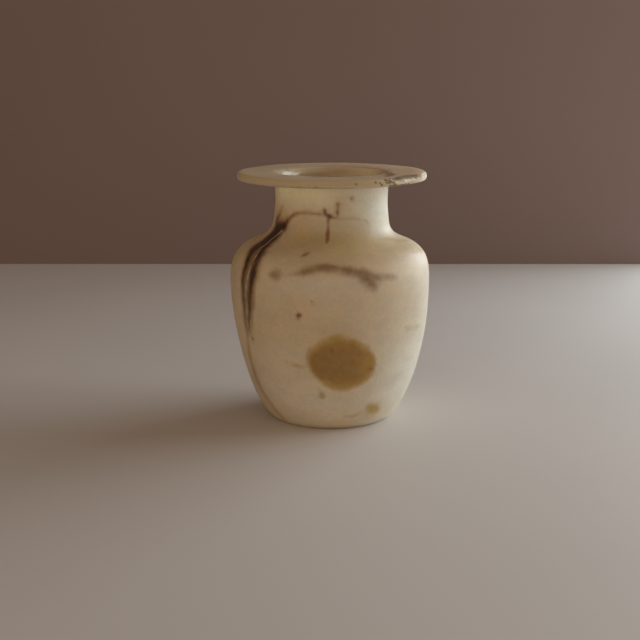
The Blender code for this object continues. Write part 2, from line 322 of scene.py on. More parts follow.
# The pale filling of the fissure and the scratch: from and to which place across the edge it fades, and
# how strongly it covers
FISSURE_FILL = (0.30, 0.0)
SCRATCH_FILL = (0.20, -0.08)
FILL_STRENGTH = 0.72
# On the broken faces: places in metres between which the dirt and painted shade and the pale stone give way
# towards the right, and between which the painted shade of the upper slope and the painted shade of the
# lower edge, in the rust colour, begin
DIRT_AND_SHADE_ENDS = (0.060, 0.066)
PALE_ENDS = (0.058, 0.067)
UPPER_SHADE_BEGINS = (0.1808, 0.1822)
LOWER_SHADE_BEGINS = (0.1796, 0.1786)
# How much rougher the broken faces and the lip are than the polish, how high the crumbs on the broken
# faces stand against its marks, and the strength and height of the whole relief
BREAK_ROUGHNESS = 0.5
LIP_ROUGHNESS = -0.20
CRUMB_RELIEF = 6.0
RELIEF_STRENGTH = 0.35
RELIEF_HEIGHT = 0.00025
# How the stone bends, returns and scatters the light
REFRACTION = 1.52
SPECULAR = 0.34
SCATTER = 0.85
SCATTER_COLOUR = (1.0, 0.72, 0.45)
SCATTER_DEPTH = 0.016

# The floor's side, and the backdrop's ends, height and distance behind the vase
FLOOR_WIDTH = 5.0
BACKDROP_LEFT = -2.5
BACKDROP_RIGHT = 0.45
BACKDROP_HEIGHT = 1.6
BACKDROP_BEHIND = 0.64
# The window at the right: its direction, its distance from a place above the foot, its size and its colour
WINDOW_AZIMUTH = radians(117)
WINDOW_RISE = radians(16)
WINDOW_DISTANCE = 1.5
WINDOW_AIM = Vector((0.0, 0.0, 0.1))
WINDOW_SIZE = (1.8, 0.9)
WINDOW_COLOUR = (0.88, 0.96, 1.0)
# The weak warm light in front, and the room's colour
FRONT_PLACE = (-0.5, -1.9, 0.22)
FRONT_TURN = (radians(88), 0.0, radians(-15))
FRONT_SIZE = (1.6, 0.8)
FRONT_COLOUR = (1.0, 0.82, 0.62)
ROOM_COLOUR = (1.0, 0.72, 0.52)
# The camera: its place, how many degrees it looks down, its lens and the width of its picture, both in
# millimetres
CAMERA_PLACE = (-0.0083 + FOOT_SHIFT, -0.83294, 0.2609)
CAMERA_TILT = 12.86
CAMERA_LENS = 64.05
CAMERA_SENSOR = 36.0


def stone_size(name, description, default):
    """A length of the stone, in metres."""
    return FloatProperty(name=name, description=description, default=default, unit="LENGTH")


class VaseSizes(bpy.types.PropertyGroup):
    """Sizes of the turned stone."""

    foot_radius: stone_size("Foot radius", "Radius of the flat foot", 0.0447)
    belly_radius: stone_size("Belly radius", "Radius at the widest ring", 0.0742)
    belly_height: stone_size("Belly height", "Height of the widest ring", 0.1056)
    neck_radius: stone_size("Neck radius", "Radius at the narrowest ring of the neck", 0.0413)
    neck_length: stone_size("Neck length", "From the shoulder to the rim's underside", 0.0300)
    rim_radius: stone_size("Rim radius", "Radius of the flat rim", 0.0692)
    rim_thickness: stone_size("Rim thickness", "Thickness of the flat rim", 0.0066)
    body_wall: stone_size("Body wall", "Thickness of the stone in the body", 0.0080)
    neck_wall: stone_size("Neck wall", "Thickness of the stone in the neck", 0.0050)
    floor: stone_size("Floor", "Thickness of the stone under the cavity", 0.0140)
    waver: stone_size("Waver", "Depth of the uneven places that grinding by hand leaves", 0.0006)
    roughness_of_break: stone_size("Break roughness", "Height of the lumps on the broken faces", 0.0022)


def stone_colour(name, description, default):
    """A colour property of the stone."""
    return FloatVectorProperty(name=name, description=description, default=default, size=3, min=0.0, max=1.0,
                               subtype="COLOR")


class VaseFinish(bpy.types.PropertyGroup):
    """Colours and surface of the stone."""

    milk: stone_colour("Milk", "The cloudy stone", (0.69, 0.58, 0.425))
    honey: stone_colour("Honey", "The warm, clear stone", (0.62, 0.47, 0.24))
    # This colour also paints the light of the chalky zones and of the inside where the light shines through
    chalk: stone_colour("Chalk", "The palest stone", (0.78, 0.735, 0.62))
    # Painted shade: this colour darkens the rim and the inside of the mouth; stone patches and dirt on the
    # breaks take it too
    olive_shade: stone_colour("Olive shade", "The rim and the inside", (0.50, 0.43, 0.295))
    ochre: stone_colour("Ochre", "Yellow-brown stains", (0.47, 0.295, 0.062))
    oval: stone_colour("Oval", "The large oval patch", (0.35, 0.205, 0.062))
    smear: stone_colour("Smear", "The brown band under the shoulder", (0.225, 0.118, 0.028))
    rust: stone_colour("Rust", "Thin brown veins and spots", (0.16, 0.070, 0.028))
    streak: stone_colour("Streak", "Thin red-brown veins", (0.25, 0.085, 0.028))
    plum: stone_colour("Plum", "Purple-brown stains on the rim", (0.20, 0.085, 0.055))
    vein: stone_colour("Vein", "The dark vein", (0.058, 0.029, 0.013))
    # Painted shade: this colour darkens the upper slope of the broken faces
    break_dark: stone_colour("Break shade", "Old dirt in the broken faces", (0.15, 0.10, 0.045))
    # Painted shade: this colour also darkens the rim's lower edge by the breaks
    crumb_and_shade: stone_colour("Crumb and shade", "Dark pits in the crumbling edge", (0.10, 0.062, 0.024))
    mineral: stone_colour("Mineral", "Pale filling of the fissure", (0.66, 0.58, 0.47))
    fracture: stone_colour("Fracture", "Broken faces", (0.80, 0.75, 0.65))
    polish: FloatProperty(
        name="Roughness", description="Roughness of the worn polish", default=0.43, min=0.0, max=1.0)


class VaseStage(bpy.types.PropertyGroup):
    """Floor, backdrop and light."""

    floor_colour: stone_colour("Floor", "Colour of the pale floor", (0.72, 0.70, 0.68))
    wall_colour: stone_colour("Backdrop", "Colour of the plain backdrop", (0.26, 0.18, 0.155))
    window_power: FloatProperty(
        name="Window", description="Power of the large soft light at the right", default=23.3,
        subtype="POWER")
    front_power: FloatProperty(
        name="Front", description="Power of the weak light in front", default=7.1, subtype="POWER")
    room_brightness: FloatProperty(
        name="Room", description="Brightness of the room round the vase", default=0.25, min=0.0)


def clear_selection():
    """Leaves edit mode and selects nothing."""
    if bpy.context.object and bpy.context.object.mode != "OBJECT":
        bpy.ops.object.mode_set(mode="OBJECT")
    bpy.ops.object.select_all(action="DESELECT")


def choose(piece, *others):
    """Selects the pieces, the first of them active."""
    clear_selection()
    for one in (piece, *others):
        one.select_set(True)
    bpy.context.view_layer.objects.active = piece


def apply_modifier(piece, kind, **settings):
    """Adds a modifier with its settings and applies it."""
    choose(piece)
    bpy.ops.object.modifier_add(type=kind)
    modifier = piece.modifiers[-1]
    for name, value in settings.items():
        setattr(modifier, name, value)
    bpy.ops.object.modifier_apply(modifier=modifier.name)


def at(radius, height):
    """A point of the outline, in the half plane that is turned round the vase's axis."""
    return Vector((radius, 0.0, height))


def bend(start, start_handle, end_handle, end, steps):
    """The points of one curved stretch, without its last, which begins the next stretch."""
    return interpolate_bezier(start, start_handle, end_handle, end, steps + 1)[:-1]


def quarter_turn(start, corner, end, steps):
    """A quarter of an ellipse from start to end, round inside their corner."""
    return bend(start, start.lerp(corner, ROUND_PULL), end.lerp(corner, ROUND_PULL), end, steps)


def straight(start, end, steps):
    """Even points from start to end, without either of them."""
    return [start.lerp(end, step / steps) for step in range(1, steps)]


def heights(sizes):
    """Heights of the neck's root, the rim's underside and the rim's top."""
    root = sizes.belly_height + SHOULDER_RISE
    under = root + sizes.neck_length
    return root, under, under + sizes.rim_thickness


def outer_wall(sizes, rings):
    """The outside of the stone, from the foot's edge up to the narrowest ring of the neck."""
    root_height, under, _ = heights(sizes)
    foot = at(sizes.foot_radius, 0.0)
    belly = at(sizes.belly_radius, sizes.belly_height)
    slope = at(NECK_ROOT_RADIUS + SLOPE_REACH, root_height - SLOPE_DROP)
    root = at(NECK_ROOT_RADIUS, root_height)
    waist = at(sizes.neck_radius, (root_height + under) / 2)

    heel_way = at(cos(HEEL_ANGLE), sin(HEEL_ANGLE))
    slope_way = at(-cos(SLOPE_ANGLE), sin(SLOPE_ANGLE))
    root_way = at(-sin(NECK_TAPER), cos(NECK_TAPER))
    upward = at(0.0, 1.0)
    rise = slope.z - belly.z
    half_neck = waist.z - root.z

    side = bend(foot, foot + heel_way * HEEL_PULL * belly.z,
                belly - upward * BELLY_PULL * belly.z, belly, rings["side"])
    shoulder = bend(belly, belly + upward * SHOULDER_PULL * rise,
                    slope - slope_way * CREST_PULL * (belly.x - slope.x), slope, rings["shoulder"])
    hollow = bend(slope, slope + slope_way * HOLLOW_PULL * SLOPE_DROP,
                  root - root_way * ROOT_PULL * SLOPE_DROP, root, rings["hollow"])
    neck = bend(root, root + root_way * NECK_PULL * half_neck,
                waist - upward * NECK_PULL * half_neck, waist, rings["neck"])
    return side + shoulder + hollow + neck + [waist]


def rim(sizes):
    """The upper half of the neck, the rim's underside, edge and top, and the rounded mouth."""
    root, under, top = heights(sizes)
    bore = sizes.neck_radius - sizes.neck_wall
    waist = at(sizes.neck_radius, (root + under) / 2)
    fillet_start = at(NECK_TOP_RADIUS, under - RIM_ROOT_FILLET)
    fillet_end = at(NECK_TOP_RADIUS + RIM_ROOT_FILLET, under)
    under_edge = at(sizes.rim_radius - RIM_EDGE, under)
    low_edge = at(sizes.rim_radius, under + RIM_EDGE)
    high_edge = at(sizes.rim_radius, top - RIM_EDGE)
    top_edge = at(sizes.rim_radius - RIM_EDGE, top)
    lip_edge = at(bore + LIP_WIDTH, top)
    lip_end = at(bore, top - LIP_DEPTH)
    points = straight(waist, fillet_start, NECK_TOP_RINGS)
    points += quarter_turn(fillet_start, at(NECK_TOP_RADIUS, under), fillet_end, EDGE_RINGS) + [fillet_end]
    points += straight(fillet_end, under_edge, FLAT_RINGS)
    points += quarter_turn(under_edge, at(sizes.rim_radius, under), low_edge, EDGE_RINGS) + [low_edge]
    points += quarter_turn(high_edge, at(sizes.rim_radius, top), top_edge, EDGE_RINGS) + [top_edge]
    points += straight(top_edge, lip_edge, FLAT_RINGS)
    points += quarter_turn(lip_edge, at(bore, top), lip_end, LIP_RINGS) + [lip_end]
    return points


def wall_at(sizes, height):
    """The stone's thickness at a height: thin in the neck, full below the shoulder's steep stretch."""
    share = (heights(sizes)[0] - height) / SLOPE_DROP
    share = min(max(share, 0.0), 1.0)
    return sizes.neck_wall + (sizes.body_wall - sizes.neck_wall) * share * share * (3 - 2 * share)


def cavity(sizes):
    """The inside, from the neck down: the outside moved in by the wall, then a rounded flat floor."""
    outside = outer_wall(sizes, INNER_RINGS)
    inside = [at(sizes.neck_radius - sizes.neck_wall, outside[-1].z)]
    for above, point, below in zip(outside[::-1], outside[-2::-1], outside[-3::-1]):
        along = (above - below).normalized()
        moved = point - at(along.z, -along.x) * wall_at(sizes, point.z)
        if moved.z > sizes.floor + FLOOR_CORNER:
            inside.append(moved)
    downward = (inside[-1] - inside[-2]).normalized()
    floor_edge = at(inside[-1].x - FLOOR_CORNER, sizes.floor)
    corner = bend(inside[-1], inside[-1] + downward * FLOOR_CORNER * ROUND_PULL,
                  floor_edge + at(FLOOR_CORNER * ROUND_PULL, 0.0), floor_edge, CORNER_RINGS)
    return inside + corner[1:] + [floor_edge]


def lean(height):
    """How far the ring at a height stands to the right."""
    return float(np.interp(height, LEAN_HEIGHTS, LEAN_SHIFTS))


def turned_stone(sizes):
    """The hollow stone, drawn up ring by ring from the foot, over the rim and down to the floor inside."""
    rings = [at(radius, 0.0) for radius in FOOT_RINGS] + outer_wall(sizes, OUTER_RINGS) + rim(sizes)
    rings += cavity(sizes) + [at(radius, sizes.floor) for radius in FLOOR_RINGS]
    first = rings[0]
    clear_selection()
    bpy.ops.mesh.primitive_circle_add(vertices=TURN_STEPS, radius=first.x * CAGE_SPREAD, fill_type="NGON",
                                      location=(lean(first.z), 0.0, first.z))
    stone = bpy.context.object
    stone.name = "carved_vase"
    stone.data.name = "carved_vase"
    bpy.ops.object.transform_apply(location=True, rotation=True, scale=True)
    bpy.ops.object.mode_set(mode="EDIT")
    bpy.ops.mesh.select_all(action="SELECT")
    for last, ring in zip(rings, rings[1:]):
        step = (lean(ring.z) - lean(last.z), 0.0, ring.z - last.z)
        bpy.ops.mesh.extrude_region_move(TRANSFORM_OT_translate={"value": step})
        stretch = ring.x / last.x
        bpy.ops.transform.resize(value=(stretch, stretch, 1.0), center_override=(lean(ring.z), 0.0, ring.z))
    bpy.ops.mesh.select_all(action="SELECT")
    bpy.ops.mesh.normals_make_consistent(inside=False)
    bpy.ops.object.mode_set(mode="OBJECT")
    apply_modifier(stone, "SUBSURF", levels=SMOOTHING, render_levels=SMOOTHING)
    return stone


def soft_noise(name, size, depth):
    """A cloudy pattern that pushes a surface in and out."""
    pattern = bpy.data.textures.new(name, "CLOUDS")
    pattern.noise_scale = size
    pattern.noise_depth = depth
    return pattern


def skin_point(sizes, azimuth, height):
    """The point of the nominal outside at an azimuth in degrees and a height in metres."""
    outline = outer_wall(sizes, FINE_RINGS)
    radius = float(np.interp(height, [p.z for p in outline], [p.x for p in outline]))
    if height > heights(sizes)[1]:
        radius = sizes.rim_radius
    return Vector((radius * sin(radians(azimuth)) + FOOT_SHIFT, -radius * cos(radians(azimuth)), height))


def break_hollow(sizes, name, azimuth, half_length, radius, out, up):
    """The rough lump that leaves one break in the rim."""
    turn = radians(azimuth)
    reach = sizes.rim_radius + out
    top = heights(sizes)[2]
    clear_selection()
    bpy.ops.mesh.primitive_ico_sphere_add(
        subdivisions=BREAK_SUBDIVISIONS, radius=radius, rotation=(0.0, 0.0, turn),
        scale=(half_length / radius, 1.0, 1.0),
        location=(reach * sin(turn) + lean(top), -reach * cos(turn), top + up))
    lump = bpy.context.object
    lump.name = name
    bpy.ops.object.transform_apply(location=True, rotation=True, scale=True)
    apply_modifier(lump, "DISPLACE", texture=soft_noise(name + "_lumps", BREAK_LUMPS, 3),
                   texture_coords="LOCAL", strength=sizes.roughness_of_break, mid_level=0.5)
    return lump


def pit_lump(stone, sizes, place):
    """The small uneven lump that leaves one pit in the skin, turned by its place so that no two are alike."""
    azimuth, height, radius = place
    _, spot, outward, _ = stone.closest_point_on_mesh(skin_point(sizes, azimuth, height * MM))
    clear_selection()
    radius *= MM
    bpy.ops.mesh.primitive_ico_sphere_add(
        subdivisions=PIT_SUBDIVISIONS, radius=radius, location=spot + outward * PIT_OUT * radius,
        rotation=(height, azimuth, height), scale=PIT_SHAPE)
    lump = bpy.context.object
    bpy.ops.object.transform_apply(location=True, rotation=True, scale=True)
    apply_modifier(lump, "DISPLACE", texture=soft_noise("pit_lumps", PIT_LUMPS, 1), texture_coords="LOCAL",
                   strength=PIT_ROUGHNESS, mid_level=0.5)
    return lump


def groove_line(stone, sizes, points):
    """A groove's places on the stone's own skin, each with its half width in millimetres."""
    return [(stone.closest_point_on_mesh(skin_point(sizes, place.x, place.y * MM))[1], place.z)
            for place in smooth_route(points)]


def groove_tube(line):
    """The thin tube that leaves a groove along its line, half sunk in the skin."""
    clear_selection()
    bpy.ops.curve.primitive_nurbs_path_add()
    tube = bpy.context.object
    tube.data.splines.clear()
    spline = tube.data.splines.new("POLY")
    spline.points.add(len(line) - 1)
    for point, (spot, half_width) in zip(spline.points, line):
        point.co = (*spot, 1.0)
        point.radius = half_width
    tube.data.bevel_depth = MM
    tube.data.bevel_resolution = 1
    tube.data.use_fill_caps = True
    bpy.ops.object.convert(target="MESH")
    return bpy.context.object


def steady_foot(stone):
    """A vertex group that leaves the foot flat, and lets the waver begin above it, a millimetre at a time."""
    group = stone.vertex_groups.new(name="above_foot")
    flat = np.empty(len(stone.data.vertices) * 3)
    stone.data.vertices.foreach_get("co", flat)
    full = WAVER_START / MM
    bands = np.clip(flat[2::3] / MM, 0.0, full).round()
    for band in np.unique(bands):
        group.add(np.flatnonzero(bands == band).tolist(), float(band) / full, "REPLACE")
    return group.name


def cut_away(stone, lumps):
    """Cuts the lumps out of the stone, and removes them."""
    choose(*lumps)
    if len(lumps) > 1:
        bpy.ops.object.join()
    lump = bpy.context.view_layer.objects.active
    apply_modifier(stone, "BOOLEAN", operation="DIFFERENCE", solver="MANIFOLD", object=lump)
    bpy.data.objects.remove(lump)


def smooth_route(points):
    """A smooth, closely spaced route through the given points."""
    points = [Vector(point) for point in points]
    padded = [points[0] * 2 - points[1]] + points + [points[-1] * 2 - points[-2]]
    route = []
    for before, start, end, after in zip(padded, padded[1:], padded[2:], padded[3:]):
        route += bend(start, start + (end - before) / 6, end - (after - start) / 6, end, ROUTE_STEPS)
    return route + [points[-1]]


def nearest_on_step(points, start, end):
    """How far along a step each point's nearest place lies, as a share of it, and the gap from that place."""
    way = end - start
    share = np.clip((points - start) @ way / max(way @ way, TINY), 0.0, 1.0)
    return share, points - start - share[:, None] * way


class Skin:
    """The finished stone's points, and how they lie on its nominal outside."""

    def __init__(self, stone, sizes):
        outline = outer_wall(sizes, FINE_RINGS) + rim(sizes)[:NECK_TOP_RINGS - 1]
        self.outline_heights = np.array([p.z for p in outline])
        self.outline_radii = np.array([p.x for p in outline])
        self.mesh = stone.data
        flat = np.empty(len(self.mesh.vertices) * 3)
        self.mesh.vertices.foreach_get("co", flat)
        self.points = flat.reshape(-1, 3) / MM
        self.points[:, 0] -= FOOT_SHIFT / MM
        self.height = self.points[:, 2]
        self.radius = np.hypot(self.points[:, 0], self.points[:, 1])
        self.azimuth = np.degrees(np.arctan2(self.points[:, 0], -self.points[:, 1]))
        self.top = heights(sizes)[2] / MM
        self.under = heights(sizes)[1] / MM
        self.rim_radius = sizes.rim_radius / MM
        self.lip_radius = (sizes.neck_radius - sizes.neck_wall + LIP_WIDTH) / MM
        below_rim = self.height < self.under - BELOW_RIM
        self.inside = np.where(below_rim, self.radius < self.nominal_radius(self.height) - INSIDE_DEPTH,
                               self.radius < NECK_TOP_RADIUS / MM - NECK_INSIDE_DEPTH)

    def nominal_radius(self, height):
        """Radius of the nominal outside at a height, in millimetres."""
        return np.interp(np.asarray(height) * MM, self.outline_heights, self.outline_radii) / MM

    def place(self, azimuth, height):
        """The point of the nominal outside at an azimuth and a height, in millimetres."""
        radius = self.nominal_radius(height)
        turn = np.radians(azimuth)
        return np.array((radius * np.sin(turn), -radius * np.cos(turn), height))

    def band_distance(self, spots, half_widths):
        """Millimetres from each point to the edge of a band along the spots, less than nothing inside it."""
        best = np.full(len(self.points), FAR)
        for start, end, first, last in zip(spots, spots[1:], half_widths, half_widths[1:]):
            share, gap = nearest_on_step(self.points, start, end)
            best = np.minimum(best, np.linalg.norm(gap, axis=1) - first - share * (last - first))
        return best

    def edge_distance(self, routes):
        """Millimetres from each point to the edge of the nearest route, less than nothing inside it."""
        best = np.full(len(self.points), FAR)
        for points in routes:
            route = smooth_route(points)
            spots = [self.place(p.x, p.y) for p in route]
            best = np.minimum(best, self.band_distance(spots, [p.z for p in route]))
        return np.where(self.inside, FAR, best)

    def groove_distance(self, line):
        """Millimetres from each point to the edge of a groove that was cut along the line."""
        spots = [(np.array(spot) - (FOOT_SHIFT, 0.0, 0.0)) / MM for spot, _ in line]
        return self.band_distance(spots, [half_width for _, half_width in line])

    def rim_distance(self, marks):
        """Millimetres from each point to the edge of the nearest mark on the rim. On the rim's edge, a mark
        reaches down into the chips there."""
        best = np.full(len(self.points), FAR)
        outward = self.points * (1.0, 1.0, 0.0) / np.maximum(self.radius, TINY)[:, None]
        for width, points in marks:
            turns = [radians(azimuth) for azimuth, _, _ in points]
            spots = [np.array((radius * sin(turn), -radius * cos(turn), height))
                     for turn, (_, radius, height) in zip(turns, points)]
            for start, end in zip(spots, spots[1:]):
                gap = nearest_on_step(self.points, start, end)[1]
                sunk = np.einsum("ij,ij->i", gap, outward)
                reach = CHIP_REACH if max(start[2], end[2]) < self.top - TOP_BAND else 0.0
                best = np.minimum(best, np.sqrt(np.sum(gap * gap, axis=1) - reach * sunk * sunk) - width)
        return best

    def shone_through(self):
        """How far each point inside lies on the side that the light shines through, which is painted paler.
        """
        return np.where(self.inside, np.exp(-((self.azimuth - SHINE_AZIMUTH) / SHINE_SPREAD) ** 2), 0.0)

    def rim_and_mouth_shade(self):
        """How far each point takes the painted shade of the rim and the inside of the mouth, a darker olive.
        """
        on_rim = np.clip((self.height - self.under + SHADE_BELOW) / SHADE_RISE, 0.0, 1.0)
        # Painted light: the rim's tip towards the window loses the painted shade
        azimuth, spread, width, strength = LIT_TIP
        clear = strength * np.exp(-((self.azimuth - azimuth) / spread) ** 2)
        clear *= self.radius > self.rim_radius - width
        # Painted shade: more of it on the rim's edge at the left and front
        azimuth, spread, width, strength = SHADED_EDGE
        dull = strength * (self.radius > self.rim_radius - width) * (np.abs(self.azimuth - azimuth) < spread)
        return np.where(self.inside, 1.0 - SHINE_LIGHTENS * self.shone_through(), on_rim * (1.0 + dull - clear))

    def on_lip(self):
        """How far each point belongs to the lip of the mouth, which hands have kept smooth."""
        across = (self.lip_radius - self.radius) / LIP_FADE
        return np.where(self.height > self.top - LIP_DEPTH / MM, np.clip(across, 0.0, 1.0), 0.0)

    def oval_distance(self, outline):
        """Millimetres outside a closed outline on the front, less than nothing inside it."""
        corners = smooth_route([(azimuth, height, 0.0) for azimuth, height in outline + outline[:1]])
        scale = self.nominal_radius(OVAL_HEIGHT) * pi / 180
        here = np.stack((self.azimuth * scale, self.height), axis=1)
        best = np.full(len(here), FAR)
        within = np.zeros(len(here), dtype=bool)
        for p, q in zip(corners, corners[1:]):
            start = np.array((p.x * scale, p.y))
            end = np.array((q.x * scale, q.y))
            best = np.minimum(best, np.linalg.norm(nearest_on_step(here, start, end)[1], axis=1))
            across, up = end - start
            crosses = (p.y > self.height) != (q.y > self.height)
            if abs(up) > TINY:
                within ^= crosses & (here[:, 0] < start[0] + (self.height - p.y) / up * across)
        return np.where(self.inside, FAR, np.where(within, -best, best))

    def zones(self, blobs):
        """The sum of soft blobs at each point."""
        total = np.zeros(len(self.points))
        for azimuth, height, spread, rise, strength in blobs:
            turn = (self.azimuth - azimuth + 180.0) % 360.0 - 180.0
            total += strength * np.exp(-(turn / spread) ** 2 - ((self.height - height) / rise) ** 2)
        return total

    def near_break(self):
        """Whether each point lies by one of the hollows that break the rim."""
        close = np.zeros(len(self.points), dtype=bool)
        for place in BREAKS.values():
            turn = np.radians(self.azimuth - place["azimuth"])
            along = self.radius * np.sin(turn) * MM
            out = self.radius * np.cos(turn) * MM - self.rim_radius * MM - place["out"]
            up = (self.height - self.top) * MM - place["up"]
            across = np.hypot(out, up) / place["radius"]
            close |= np.hypot(along / place["half_length"], across) < BREAK_REACH
        return close

    def broken_depth(self):
        """Millimetres that each point of the rim lies inside its unbroken, round-edged shape."""
        edge = RIM_EDGE / MM
        out = self.radius - self.rim_radius + edge
        up = np.maximum(self.height - self.top, self.under - self.height) + edge
        round_edge = np.hypot(np.maximum(out, 0.0), np.maximum(up, 0.0))
        deep = edge - round_edge - np.minimum(np.maximum(out, up), 0.0)
        clear = np.where(self.near_break(), LOST_IN_BREAK, LOST_ELSEWHERE)
        start, end = BROKEN_ARC
        in_arc = (self.azimuth > start) & (self.azimuth < end)
        on_rim = (self.radius > NECK_TOP_RADIUS / MM + BROKEN_FROM_NECK) & (self.height > self.under)
        return np.where(in_arc & on_rim, np.clip(deep - clear, 0.0, None), 0.0)

    def write(self, name, values):
        """Keeps one value for each point under a name."""
        layer = self.mesh.attributes.new(name, "FLOAT", "POINT")
        layer.data.foreach_set("value", values.astype(np.float32))


def short_mark(azimuth, height, length, turn, widths):
    """A short upright route round a place, which leans by its turn."""
    first, last = widths
    return (azimuth, height - length, first), (azimuth + turn, height + length, last)


def mark_veins(stone, sizes, fissure, scratch):
    """Writes where the veins, stains, zones, grooves and breaks lie."""
    skin = Skin(stone, sizes)
    specks = tuple(short_mark(azimuth, height, SPECK_LENGTH, 0.0, (width, width))
                   for azimuth, height, width in OVAL_SPECKS)
    # Painted shade, with dust: a short dark crescent in each pit of the shoulder
    pit_shade_and_dust = tuple(short_mark(azimuth, height, PIT_SHADE_LENGTH, PIT_SHADE_TURN, PIT_SHADE_WIDTHS)
                  for azimuth, height, _ in PITS if height < skin.under)
    layers = {
        "dark_vein": skin.edge_distance(DARK_VEIN),
        "rust": skin.edge_distance(RUST_LINES + specks),
        "streak": skin.edge_distance(RED_LINES),
        "rim_stain": skin.rim_distance(RIM_STAINS),
        "rim_crumb_and_shade": skin.rim_distance(RIM_CRUMBS_AND_SHADE),
        "rim_patch": skin.rim_distance(RIM_PATCHES),
        "olive_shade": skin.rim_and_mouth_shade(),
        "lip": skin.on_lip(),
        "oval_glow": skin.zones(OVAL_GLOW),
        "low_vein": skin.edge_distance(LOW_VEIN),
        "smear": skin.edge_distance(SMEARS),
        "smear_core_and_pit_shade": skin.edge_distance(SMEAR_CORES + pit_shade_and_dust),
        "ochre": skin.edge_distance(OCHRES),
        "oval": skin.oval_distance(OVAL),
        "fissure": skin.groove_distance(fissure),
        "scratch": skin.groove_distance(scratch),
        # Stone tone, with painted light: the chalky zones on the neck and the right side, and the paler
        # inside
        "warmth_and_painted_light": skin.zones(ZONES) - SHINE_PALENESS * skin.shone_through(),
        "broken": skin.broken_depth(),
    }
    for name, values in layers.items():
        skin.write(name, values)


class Tree:
    """A node tree that is put together a node at a time."""

    def __init__(self, tree):
        self.tree = tree

    def add(self, kind, inputs=(), **settings):
        """Adds a node. An input is a value or another node's socket."""
        node = self.tree.nodes.new(kind)
        for name, value in settings.items():
            setattr(node, name, value)
        for name, value in dict(inputs).items():
            self.feed(node.inputs[name], value)
        return node

    def feed(self, socket, value):
        """Links a socket to another, or gives it a value."""
        if isinstance(value, bpy.types.NodeSocket):
            self.tree.links.new(value, socket)
        else:
            socket.default_value = value

    def maths(self, operation, first, second=0.0, third=0.0, clamp=False):
        """One step of arithmetic."""
        return self.add("ShaderNodeMath", {0: first, 1: second, 2: third}, operation=operation,
                        use_clamp=clamp).outputs[0]

    def fade(self, value, low, high, start=0.0, end=1.0):
        """A smooth change from start to end while value goes from low to high."""
        inputs = {"Value": value, "From Min": low, "From Max": high, "To Min": start, "To Max": end}
        return self.add("ShaderNodeMapRange", inputs, interpolation_type="SMOOTHSTEP").outputs["Result"]

    def blend(self, share, first, second, kind="MIX"):
        """Mixes two colours."""
        node = self.add("ShaderNodeMix", data_type="RGBA", blend_type=kind)
        self.feed(node.inputs[0], share)
        self.feed(node.inputs[6], first)
        self.feed(node.inputs[7], second)
        return node.outputs[2]

    def layer(self, name):
        """A value that is kept at each point of the stone."""
        return self.add("ShaderNodeAttribute", attribute_name=name).outputs["Fac"]

    def noise(self, place, scale, detail=2.0, roughness=0.5, distortion=0.0):
        """A soft cloudy value round a half."""
        inputs = {"Vector": place, "Scale": scale, "Detail": detail, "Roughness": roughness,
                  "Distortion": distortion}
        return self.add("ShaderNodeTexNoise", inputs).outputs["Fac"]

    def object_place(self, stretch=(1.0, 1.0, 1.0)):
        """The place in the stone, stretched along the axes."""
        spot = self.add("ShaderNodeTexCoord").outputs["Object"]
        if stretch == (1.0, 1.0, 1.0):
            return spot
        return self.add("ShaderNodeMapping", {"Vector": spot, "Scale": stretch}).outputs["Vector"]


def new_group(name, inputs, outputs):
    """A node group with number or colour inputs and outputs, and its two end nodes."""
    group = bpy.data.node_groups.new(name, "ShaderNodeTree")
    for label, value in inputs.items():
        kind = "NodeSocketFloat" if isinstance(value, float) else "NodeSocketColor"
        socket = group.interface.new_socket(label, in_out="INPUT", socket_type=kind)
        socket.default_value = value
    for label, kind in outputs.items():
        group.interface.new_socket(label, in_out="OUTPUT", socket_type=kind)
    tree = Tree(group)
    return tree, tree.add("NodeGroupInput").outputs, tree.add("NodeGroupOutput").inputs


def stain_group():
    """A mask from a distance to an edge, with a ragged, soft border."""
    tree, given, put_out = new_group(
        "stain_edge", {"Edge": 0.0, "Ragged": 1.0, "Softness": 0.5, "Scale": 120.0},
        {"Mask": "NodeSocketFloat"})
    rough = tree.noise(tree.object_place((1.0, 1.0, 0.6)), given["Scale"], detail=4.0, roughness=0.6)
    shift = tree.maths("MULTIPLY", tree.maths("SUBTRACT", rough, 0.5), given["Ragged"])
    edge = tree.maths("MULTIPLY_ADD", shift, 2.0, given["Edge"])
    low = tree.maths("MULTIPLY", given["Softness"], -1.0)
    tree.feed(put_out["Mask"], tree.fade(edge, given["Softness"], low))
    return tree.tree


